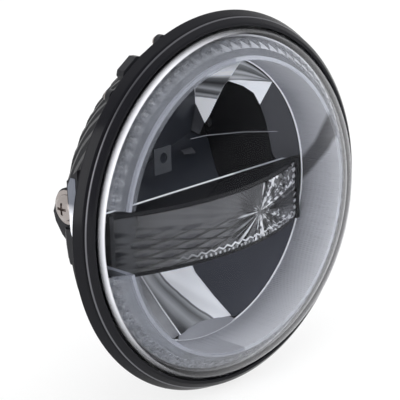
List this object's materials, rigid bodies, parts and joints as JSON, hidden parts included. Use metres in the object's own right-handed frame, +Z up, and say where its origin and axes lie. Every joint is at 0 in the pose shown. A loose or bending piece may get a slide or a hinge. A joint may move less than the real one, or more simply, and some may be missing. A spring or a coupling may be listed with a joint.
{
  "type": "round motorcycle headlight",
  "caption": "Round LED motorcycle headlight: domed clear lens in a black bezel, halo ring, fluted centre bar, chrome reflectors and a finned cast housing with two side lugs.",
  "frame": {"origin": "on the lamp's axis, in the plane of the bezel's bright front edge", "axes": "+Y along the lamp's axis towards the rear, so the lamp shines towards -Y; +X along the centre bar; +Z up"},
  "size_m": [0.1834, 0.1085, 0.1834],
  "materials": {
    "cast_black": "black powder coat on die-cast aluminium",
    "bezel_black": "gloss black moulded plastic",
    "lens_clear": "clear hard-coated polycarbonate",
    "seal_rubber": "soft black rubber",
    "guide_clear": "clear light guide with prism teeth",
    "carrier_silver": "pale silver metallised plastic",
    "optic_clear": "clear fluted acrylic",
    "tray_dark": "dark smooth plastic",
    "mask_dark": "dark blue-grey metallised plastic",
    "chrome": "vacuum-metallised mirror",
    "heat_sink": "plain cast aluminium",
    "board_white": "white circuit board",
    "board_green": "green circuit board",
    "led_yellow": "phosphor of a white light source",
    "screw_steel": "zinc-plated steel",
    "parts_dark": "dark electronic parts",
    "connector_black": "black moulded nylon",
    "contact_metal": "tinned brass",
    "vent_grey": "grey moulded plastic"
  },
  "bodies": {
    "root": {"front_bezel": "bezel_black", "outer_lens": "lens_clear", "lens_seal": "seal_rubber", "halo_light_guide": "guide_clear", "halo_carrier": "carrier_silver", "halo_led_board": "board_white", "halo_leds": "led_yellow", "bar_optic": "optic_clear", "bar_tray": "tray_dark", "bar_led_board": "board_white", "bar_leds": "led_yellow", "inner_mask": "mask_dark", "low_beam_reflector": "chrome", "high_beam_reflector": "chrome", "led_heat_sink": "heat_sink", "low_beam_board": "board_white", "low_beam_leds": "led_yellow", "high_beam_board": "board_white", "high_beam_leds": "led_yellow", "mask_screws": "screw_steel", "housing": "cast_black", "bezel_screws": "screw_steel", "driver_board": "board_green", "driver_parts": "parts_dark", "rear_cover": "cast_black", "rear_cover_seal": "seal_rubber", "rear_cover_screws": "screw_steel", "connector_shroud": "connector_black", "connector_blades": "contact_metal", "breather_vent": "vent_grey", "lug_screws": "screw_steel", "lug_washers": "screw_steel"}
  },
  "joints": []
}
